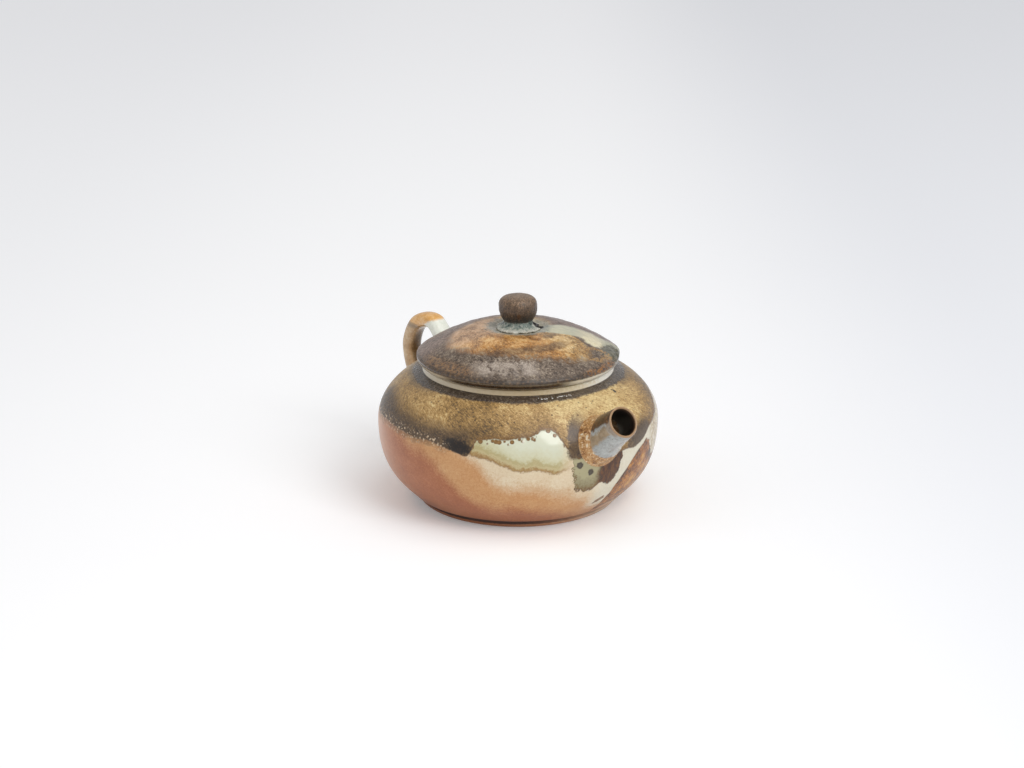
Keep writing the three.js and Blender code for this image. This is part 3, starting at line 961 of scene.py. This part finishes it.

# %% [markdown]
# ## The bowl: round the spout, at the neck and at the foot
#
# Dark ash lies in an arc on the near side of the spout. Where the shoulder meets the neck a brown black
# pool of glass fills the corner, with painted highlights on its ripples, and painted shade spreads from
# it at both sides. The neck is pale. The groove over the foot is painted dark, as shade under the belly,
# and the foot ring and the inside are bare clay.

# %% Bowl: spout arc, neck, foot, inside
along, from_spout, round_spout = round_the_spout()
arc = total(from_spout, small=2.4, fine=2, dust=1.2)
arc_glass = finish(ramp(total(0.5, dust=0.9, fine=0.6, small=0.5),
                        "10 #281A0D, 40 #4A3620, 70 #6C5434, 95 #9E8454"), 0.4, 0.1)
coat(arc_glass, ease(arc, 12, 10.4), ease(turn, -1, -4), band(round_spout, -136, -118, -60, -8),
     ease(height, 25, 26.2))
dark_speck = spot(turn, height, 23, 39.7, 0.7, 0.45)
coat(finish("#2E241C", 0.3), ease(dark_speck, 1.1, 0.6))

pool_out = total(radius, small=1.4, broad=1.5, dust=0.8)
ripples = grains["ripples"] = grain(point, 0.8, 2, 0.6)
pool_side_shade = all_of(ease(pool_out, 36, 32.5), ease(height, 38.5, 40))
behind = any_of(ease(turn, -75, -105), ease(turn, 25, 45))
pool = all_of(ease(pool_out, 33.5, 32.6), ease(height, 39, 40))
pool_glass = finish(ramp(total(0.5, ripples=1.2, dust=0.6),
                         "15 #1C1613, 50 #423934, 80 #6C6056, 98 #A09384"), 0.1, total((ripples, 0.35)))
# painted shade: a soft dark band spreading from the pool ring at both sides of the pot
coat(finish("#4E4232", 0.3), pool_side_shade, behind, 0.7)
coat(pool_glass, pool, 0.94)
# painted highlights: bright white points on the pool's ripples, in front and a little to the right
painted_glints = all_of(ease(cells(0.7), 0.46, 0.3), band(turn, -29, -22, -8, -2),
                  band(radius, 30.9, 31.1, 31.7, 32), ease(fine, 0.44, 0.5))
coat(finish("#F2EFE8", 0.1, 0.3), pool, painted_glints)

behind_pot = ease(turn, 120, 178)
neck_place = total(add("MapRange", turn, -120, 60), (behind_pot, -1), fine=0.3)
neck_tint = ramp(neck_place, "0 #DAD2C0, 30 #CCBA9C, 55 #C2AC84, 68 #DACDAE, 80 #EAE6DA, 100 #E2DACA")
coat(finish(neck_tint, 0.28), ease(height, 41.75, 42), ease(radius, 30.7, 30.3))

foot_place = total(add("MapRange", turn, -120, 20), (behind_pot, -1), small=0.3)
foot_tint = finish(ramp(foot_place, "0 #8F5434, 50 #A66A44, 75 #B98460, 100 #D0B8A0"), 0.42)
# painted shade: near black in the groove over the foot, strongest in front
painted_groove_shade = finish(ramp(total(0.5, dust=0.8), "30 #180400, 70 #301002"), 0.55)
coat(foot_tint, ease(height, 2.5, 2.3))
coat(painted_groove_shade, ease(total(height, fine=0.4), 0.9, 1.3), ease(height, 3.2, 2.6),
     ease(turn, 10, -35, 0.35, 0.92))
raw_clay = finish("#CBBDA6", 0.55)
bore = all_of(ease(from_spout, 6.6, 6.2), band(turn, -20, -15, 15, 20))
x, y = (add("SeparateXYZ", point, out=k) for k in range(2))
facing = add("TexCoord", out="Normal")
outwards = add("VectorMath DOT_PRODUCT", facing, add("CombineXYZ", x, y, 0), out=1)
inner_wall_seen = ease(add("Math DIVIDE", outwards, radius), -0.04, -0.14)
inner_floor = all_of(ease(radius, 33.4, 33.1), band(height, 3.9, 4.3, 19, 20))
coat(raw_clay, any_of(ease(radius, 29.1, 28.7), inner_wall_seen, inner_floor, bore))
fire(bowl_finish, bowl, 0.26, 0.12)

# %% [markdown]
# ## The lid
#
# The lid faced the flame and the flying ash. Its ground is a dry grey brown crust with pale wrinkles
# in front and mauve at the far side. In the middle lies a burnt orange glass, broken by dark specks
# and bars. A pale green run crosses to the spout's side and ends in cream and dark green with rust
# outlines. Bead by bead a dark brown glass hangs along the rim.

# %% Lid
orange_line = [(-180, 13), (-140, 16), (-120, 21), (-100, 24), (-77, 23), (-54, 21.5), (-43, 22),
               (-25, 23), (-12, 23), (0, 26), (15, 27), (25, 26), (31, 24), (35, 18), (40, 12), (60, 10),
               (180, 13)]
green_near = [(-180, 0), (6, 0), (12, 8), (20, 12), (28, 15), (36, 18.5), (41, 22), (45, 26), (50, 32),
              (180, 60)]

# porcelain under a dry crust of ash: dull and rough, with glassy patches in it
lid_finish = begin("ash_crusted_porcelain")
point, turn, height, radius = places()
dust, fine, small, middling = make_grains(dust=(0.42, 2, 0.6), fine=(0.9, 4, 0.62), small=(2.2, 4, 0.6),
                                          middling=(6, 3, 0.55))
combed = grains["combed"] = grain(brushed(radius, -3, 0.3, 24), 0.7, 3, 0.62)
wrinkles = creases(1.9, 3, 1)

crust_tone = total(0.45, dust=1, fine=1.5, combed=0.6, small=0.7, middling=0.6)
coat(finish(ramp(crust_tone, "5 #271C13, 28 #4F3F32, 52 #716151, 90 #A99985"), 0.5,
            total((dust, 0.2), (small, 0.3))))
mauve = finish(ramp(crust_tone, "5 #4E3D34, 40 #7E6A60, 65 #988377, 95 #B8A294"), 0.45,
               total((combed, 0.1)))
far_side = any_of(ease(total(turn, middling=30, fine=12), -90, -120), ease(turn, 50, 62))
coat(mauve, far_side, 0.9)
dark_mauve = finish(ramp(crust_tone, "10 #463430, 50 #6E5952, 90 #94807A"), 0.45)
coat(dark_mauve, band(turn, 58, 70, 120, 175), 0.55)

patchy = total(radius, small=4, dust=3)
pale_band = all_of(band(patchy, 23.5, 26, 28.2, 30.4), ease(total(turn, middling=20), -68, -54),
                   ease(total(turn, middling=24), -16, -28), ease(total(middling, small=0.3), 0.34, 0.5))
wrinkle_tone = total(0.5, dust=0.9, fine=0.6)
pale_wrinkle = finish(ramp(wrinkle_tone, "15 #74665A, 50 #AEA092, 85 #D4C8BA"), 0.5, 0.2)
coat(pale_wrinkle, pale_band, ease(wrinkles, 0.4, 0.14), 0.9)

orange_out = total(line_round(turn, orange_line), (radius, -1), small=-5, fine=-4, dust=-4)
orange_tone = total(0.6, combed=0.8, dust=0.8, small=1, middling=1.1, fine=1)
orange = finish(ramp(orange_tone, "0 #3E2A17, 20 #70491F, 40 #A9722F, 60 #C48C48, 92 #E2BC84"), 0.28, 0.1)
pink_tan = finish(ramp(orange_tone, "0 #57412F, 28 #97765A, 58 #C29A76, 92 #DDBA96"), 0.4, 0.1)
centre_colour = lay(orange, pink_tan, ease(total(turn, middling=50), -62, -98))
yellow = finish(ramp(orange_tone, "10 #6E5028, 40 #B0884A, 65 #D0AE74, 95 #E8D2A2"), 0.28, 0.1)
centre_colour = lay(centre_colour, yellow, all_of(ease(total(turn, middling=20), -8, 14), 0.75))
coat(centre_colour, ease(orange_out, -1.4, 2.2))
net = creases(1.1, 2, 0.9)
net_finish = finish(ramp(dust, "35 #3C2A19, 70 #6E5032"), 0.4)
coat(net_finish, ease(net, 0.14, 0.05), ease(middling, 0.62, 0.4), ease(orange_out, -1, 1), 0.6)
bar_low = total(radius, (turn, 0.02), small=3, fine=1.6)
bar = all_of(band(bar_low, 16.6, 18.6, 19.8, 21.6), band(turn, -60, -42, 8, 20))
bar_thin = all_of(band(bar_low, 12.4, 13.4, 14.4, 15.6), band(turn, -6, 4, 26, 32))
dark_bar = finish(ramp(orange_tone, "15 #2F2317, 50 #58432E, 90 #8C6E4A"), 0.35, 0.1)
coat(dark_bar, any_of(bar, bar_thin), 0.75)

past_green = total(turn, small=9, fine=5)
run_edge = total(radius, (line_round(turn, green_near), -1), small=3, fine=2)
in_run = all_of(ease(run_edge, 0.7, -1), band(past_green, 8, 16, 58, 66))
run_tone = total(add("MapRange", radius, 8, 30), small=0.35, fine=0.3)
run_colours = "0 #B0B098, 20 #CCC7AC, 42 #BAB9A0, 55 #C8C0A4, 70 #DDD2B0, 90 #ABA990"
green_run = finish(ramp(run_tone, run_colours), 0.14, 0.12)
coat(green_run, in_run)
cream = total(spot(turn, radius, 44, 23.6, 7.5, 3.8), small=1, fine=0.7)
coat(finish(ramp(fine, "30 #D4C7A0, 70 #EAE1C2"), 0.16, 0.15), ease(cream, 1.05, 0.7))
deep = total(spot(turn, radius, 45, 29.6, 10, 3.4, 6), small=1.1, fine=0.8)
coat(finish(ramp(total(0.5, fine=1.2, dust=0.6), "15 #24261C, 45 #4C4A3C, 80 #84806A"), 0.14, 0.1),
     ease(deep, 1.1, 0.7))
outline = total(spot(turn, radius, 26, 26.2, 9.5, 3.2, 14), small=1.4, fine=1.2)
coat(finish(ramp(total(0.5, dust=1.2), "25 #6B4A28, 70 #D0A566"), 0.3, 0.15),
     band(outline, 0.6, 0.78, 0.94, 1.14), 0.75)

ochre_rim = all_of(ease(total(radius, small=2.6, fine=2), 26.6, 29), ease(turn, -112, -98),
                   ease(total(turn, middling=20), -56, -68), ease(total(dust, fine=1), 0.36, 0.58))
coat(finish(ramp(fine, "35 #6A4626, 70 #9C7443"), 0.3, 0.1), ochre_rim, 0.8)
rust_rim = all_of(ease(total(radius, small=2), 30, 31), band(turn, 2, 10, 30, 36), ease(fine, 0.42, 0.56))
coat(finish(ramp(dust, "35 #6B4220, 65 #B47C3C"), 0.25, 0.15), rust_rim)

rim_bead = cells(1)
rim_zone = all_of(ease(total(radius, small=0.8, fine=0.5), 30.4, 31.2), band(turn, -130, -110, 4, 16))
coat(finish(ramp(total(rim_bead, fine=1.2, dust=0.5), "5 #7E6444, 30 #4E3A26, 60 #23170E"), 0.2, 0.25),
     rim_zone, 0.75)

under_edge = ease(total(height, fine=0.6), 45.9, 45.3)
side_place = total(add("MapRange", turn, -130, 40), (ease(turn, 120, 178), -1), fine=0.3)
side_colours = "0 #CEC4B2, 30 #C4B396, 50 #BEA880, 70 #D8CBAE, 85 #E8E3D4, 100 #E2DCCE"
pale_side = finish(ramp(side_place, side_colours), 0.16)
# in front the lid's lower edge is dark brown down to the seam: partly dark glass, partly painted shade
# under the edge
dark_glass_and_shade = band(turn, -88, -70, -14, 2)
coat(pale_side, under_edge)
coat(finish(ramp(fine, "30 #20130A, 70 #4E3822"), 0.16, 0.1), under_edge, dark_glass_and_shade)

fillet = ease(total(radius, small=4, fine=2), 11.4, 8.6)
fillet_glass = finish(ramp(total(0.5, small=1, fine=1, dust=0.5),
                           "10 #485651, 40 #84867A, 70 #AAA492, 95 #D6D3C6"), 0.14, 0.15)
coat(fillet_glass, fillet, 0.85)
raw = finish("#C8BAA3", 0.55)
facing_up = add("SeparateXYZ", add("TexCoord", out="Normal"), out=2)
under_lid = all_of(ease(facing_up, 0.3, 0.1), ease(radius, 26.8, 26.4))
coat(raw, any_of(ease(height, 43.85, 43.7), under_lid))
coat(painted_hole_shade, steam_hole())
fire(lid_finish, lid, 0.3, 0.14)

# %% [markdown]
# ## The knob
#
# Brown ash crust, paler and pinker towards the top and rust dark towards the bottom, with fine upright
# combing.
# The glass in its foot took a teal grey from the ash, and pale crystals grew along its edge.

# %% Knob
glass_top = knob_base + 2.3

# a dry speckled crust on the ball, and a pool of glass in its foot
knob_finish = begin("speckled_ash_glaze")
point, turn, height, radius = places()
dust, fine, small = make_grains(dust=(0.35, 2, 0.6), fine=(0.8, 4, 0.62), small=(2, 3, 0.6))
upright = grains["upright"] = grain(add("VectorMath MULTIPLY", point, (1, 1, 0.35)), 0.5, 3, 0.6)
level = total(add("MapRange", height, glass_top + 0.2, knob_top, 0.05, 0.8), -0.02,
              dust=1.4, upright=0.8, small=0.5, fine=0.6)
coat(finish(ramp(level, "0 #1C1008, 25 #3A2818, 50 #57432F, 80 #7A6048, 100 #A08468"), 0.36,
            total((upright, 0.16), (dust, 0.16))))
dark_base = total(spot(turn, height, -32, ball_height - 2, 5, 1.5), small=0.8)
coat(finish(ramp(dust, "35 #24130A, 65 #5A3820"), 0.2, 0.1), ease(dark_base, 1.1, 0.5), 0.6)
foot_tone = total(add("MapRange", radius, knob_neck, flare_radius, 0.2, 0.75), small=0.8, fine=0.9,
                  dust=0.4)
foot_glass = finish(ramp(foot_tone, "5 #26332F, 22 #66766F, 42 #A0A498, 65 #CCC9BC, 95 #978A74"), 0.1,
                    total((fine, 0.4), (small, 0.4)))
coat(foot_glass, ease(total(height, small=1.6, fine=0.8), glass_top + 0.6, glass_top - 0.3))
coat(painted_hole_shade, steam_hole())
fire(knob_finish, knob, 0.3, 0.1)

# %% [markdown]
# ## The spout
#
# The tube's upper side caught ash and is dark brown with rusty patches. Its flank is grey white
# porcelain glass with one tan run down it. Below, the smeared root is covered by an orange crust that
# cracked in flakes, with a pale line where it meets the bowl. The cut lip is bare and tan, and the
# bore is dark brown glaze, painted darker deeper in as shade.

# %% Spout
# thin grey white glass that shines, and a dull flaky crust at the root
spout_finish = begin("spout_ash_glaze")
point, turn, height, radius = places()
along, from_axis, round_spout = round_the_spout()
dust, fine, _ = make_grains(dust=(0.4, 2, 0.6), fine=(0.9, 4, 0.6), small=(2.2, 4, 0.6))
coat(finish(ramp(total(0.5, small=1, dust=0.5, fine=0.5), "15 #857A68, 45 #9FA2A0, 85 #C2C6C4"), 0.16))
around = total(round_spout, small=34, fine=14)
dark_top = ease(add("Math ABSOLUTE", total(around, 5)), 74, 64)
top_ash = finish(ramp(total(0.5, dust=1, fine=0.9, small=0.7),
                      "10 #20140A, 45 #432D19, 70 #6C4520, 95 #A87C4A"), 0.3, total((dust, 0.12)))
tan_run = all_of(band(around, -122, -110, -92, -80), ease(along, 13, 10.8))
coat(finish(ramp(total(0.5, small=1, fine=0.6), "20 #7C6240, 80 #A98F66"), 0.2), tan_run, 0.9)
coat(finish(ramp(fine, "30 #7A6450, 70 #9C866A"), 0.25), ease(along, 11.6, 12.4), 0.75,
     ease(around, -150, -120))
coat(top_ash, dark_top)
root_slant = add("Math COSINE", total((round_spout, math.radians(1))))
crust_edge = total(along, (root_slant, -3.4), small=2, fine=1)
cracks = creases(1.5, 3, 0.8)
crust_tone = total((cracks, 2.1), 0.2, dust=0.6, small=1.5)
orange_crust = finish(ramp(crust_tone, "5 #70451F, 28 #AE7A42, 52 #CC9C62, 76 #DCBE92, 100 #EEE0C8"),
                      0.28, total((fine, 0.4)))
coat(orange_crust, ease(crust_edge, 4.2, 3.2))
coat(finish("#CDBFA6", 0.3, 0.1), ease(total(from_axis, fine=0.3), 7.75, 8.1), 0.8)
from_mouth = add("VectorMath SUBTRACT", point, tuple(spout_root + spout_axis * spout_length))
past_mouth = add("VectorMath DOT_PRODUCT", from_mouth, tuple(mouth_normal), out=1)
coat(finish(ramp(total(0.5, dust=0.8), "20 #8C6A48, 80 #B8946C"), 0.3), ease(past_mouth, -0.5, -0.2))
# painted shade: the bore's dark brown glaze goes near black deeper in
bore_shade_depth = ease(past_mouth, -0.4, -4)
bore_glaze_and_shade = finish(ramp(bore_shade_depth, "0 #4A3424, 30 #1A0B05, 100 #060101"), 0.6)
coat(bore_glaze_and_shade, ease(past_mouth, -0.25, -0.6), ease(from_axis, 4.62, 4.35))
fire(spout_finish, spout, 0.35, 0.1)

# %% [markdown]
# ## The handle and the strainer
#
# The crest of the handle is ochre where the ash lay on top. Towards the pot it turns pale green, and
# the far limb is tan outside, with its inner face, turned to the pot, painted dark brown as shade. The
# strainer inside is plain bare porcelain.

# %% Handle and strainer
# clear glass over flame flashed clay: warm, and the shiniest piece of the pot
handle_finish = begin("ochre_flashed_porcelain")
point, turn, height, radius = places()
make_grains(dust=(0.42, 2, 0.6), fine=(0.9, 4, 0.6), small=(2.2, 4, 0.6))
facing = add("TexCoord", out="Normal")
to_pot = add("VectorMath DOT_PRODUCT", facing, (0.75, 0.66, 0), out=1)
strap_x = add("SeparateXYZ", point, out=0)
tone = total(0.5, fine=0.6, small=0.8, dust=0.5)
coat(finish(ramp(tone, "20 #AC8C66, 50 #C8A880, 80 #DCC6A2"), 0.26))
# painted shade: dark brown on the faces that turn towards the pot, below the crest
painted_inner_shade = finish(ramp(tone, "20 #46331A, 50 #644D2E, 80 #86704A"), 0.24)
coat(painted_inner_shade, ease(to_pot, 0.3, 0.75), ease(total(height, small=3), 42, 40))
pale = finish(ramp(tone, "20 #E2E6D6, 50 #EEF0E4, 80 #F4F4EC"), 0.18)
coat(pale, ease(total(strap_x, small=2, fine=1), -51, -48.5))
ochre = finish(ramp(tone, "15 #C48C3C, 50 #E6AE62, 85 #F6D6A4"), 0.24)
ochre_level = total(height, (add("Math MAXIMUM", total(strap_x, 53), 0), -0.5), small=1.2, fine=0.8)
coat(ochre, ease(ochre_level, 41.7, 43))
smudge = all_of(band(ochre_level, 40.4, 41.6, 42.4, 43.4), ease(strap_x, -53, -56))
coat(finish("#7E6647", 0.3), smudge, 0.7)
fire(handle_finish, handle, 0.45, 0.12)

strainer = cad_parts["strainer"]
# bare porcelain: pale and dull, as the glass never reached it
strainer_finish = begin("pierced_porcelain")
point, turn, height, radius = places()
coat(finish(ramp(grain(point, 1.5), "30 #AFA28C, 70 #C6BAA4"), 0.5))
fire(strainer_finish, strainer, 0.2, 0.2)

# %% [markdown]
# ## The table
#
# The pot stands on a white sheet of paper that runs on far behind it, as in a light tent that opens
# towards the camera. Away from the pot the paper is painted a little greyer, and more so at both sides:
# painted shade where the light falls off. For the camera alone it also glows a little, painted light
# that lifts the sheet to white, and that glow is stronger far away.

# %% Table
half = 3.0
fade_start = -0.35
fade_end = 1.7
sheet_glow = 0.13
sheet_glow_far = 0.24
corners = [(-half, -half, 0), (half, -half, 0), (half, half, 0), (-half, half, 0)]
mesh = bpy.data.meshes.new("table_sheet")
mesh.from_pydata(corners, [], [(0, 1, 2, 3)])
table = bpy.data.objects.new("table_sheet", mesh)
bpy.context.scene.collection.objects.link(table)
table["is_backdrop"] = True

# matt white paper: it takes soft shadows and mirrors nothing
sheet_finish = begin("white_paper_sheet")
sheet_point = add("TexCoord", out="Object")
away = add("VectorMath DOT_PRODUCT", sheet_point, tuple(-towards_camera), out=1)
aside = add("VectorMath DOT_PRODUCT", sheet_point, tuple(camera_right), out=1)
distance = add("MapRange", away, fade_start, fade_end)
# painted shade: the sheet greyer far from the pot, and greyer again at both sides
middle_colour = ramp(distance, "0 #FCFCFD, 35 #F6F7F9, 60 #F3F4F7, 100 #F1F2F5")
side_shade = any_of(ease(aside, 0.02, 0.2, 0, 0.9), ease(aside, -0.05, -0.25, 0, 0.3))
side_colour = linear("#E2E4E9")
sheet_colour = add("Mix", side_shade, data_type="RGBA", named={6: middle_colour, 7: side_colour}, out=2)
# painted light: a glow that only the camera sees, stronger far away
glow = add("MapRange", distance, 0.3, 0.9, sheet_glow, sheet_glow_far)
seen_glow = all_of(add("LightPath", out="Is Camera Ray"), glow)
sheet_shader = add("BsdfPrincipled", named={
    "Base Color": sheet_colour, "Roughness": 0.9, "Specular IOR Level": 0.2,
    "Emission Color": sheet_colour, "Emission Strength": seen_glow})
tree.links.new(sheet_shader, tree.nodes.new("ShaderNodeOutputMaterial").inputs["Surface"])
mesh.materials.append(sheet_finish)
print("the sheet is", 2 * half, "m wide and its finish has", len(tree.nodes), "nodes")

# %% [markdown]
# ## Light
#
# One soft box stands high on the viewer's right, a bigger one hangs above the pot, and a weak one fills
# in from the left. The pale room does the rest.

# %% Light
room_strength = 0.54
pot_middle = Vector((axis_x, 0, 25 * MM))
world = bpy.data.worlds.new("pale_room")
bpy.context.scene.world = world
world.use_nodes = True
background = world.node_tree.nodes["Background"]
background.inputs["Color"].default_value = linear("#FAF9F8")
background.inputs["Strength"].default_value = room_strength


def soft_box(name, turn_from_camera, elevation, distance, size, watts):
    """A square soft light round the pot, its angle counted to the viewer's right."""
    data = bpy.data.lights.new(name, "AREA")
    data.shape = "SQUARE"
    data.size = size
    data.energy = watts
    lamp = bpy.data.objects.new(name, data)
    rise = math.radians(elevation)
    flat_distance = distance * math.cos(rise)
    lamp.location = beside_pot(camera_turn + turn_from_camera, flat_distance, distance * math.sin(rise))
    look_at(lamp, pot_middle)
    bpy.context.scene.collection.objects.link(lamp)
    print(name, "at", [round(v, 2) for v in lamp.location], "m,", watts, "W")


soft_box("front_right_box", 42, 38, 1.4, 0.75, 7.0)
soft_box("overhead_box", 60, 72, 1.5, 1.2, 5.6)
soft_box("left_fill", -75, 30, 1.6, 1.2, 2.2)
bpy.context.scene.view_settings.view_transform = "Standard"

# %% [markdown]
# ## Sizes
#
# The box round the dressed pot is printed beside the box round the solids.

# %% Sizes and finish
for word, box in (("solids", solid_bounds), ("dressed pot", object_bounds())):
    print(word, "from", [round(v / MM, 2) for v in box[0]], "to", [round(v / MM, 2) for v in box[1]], "mm")
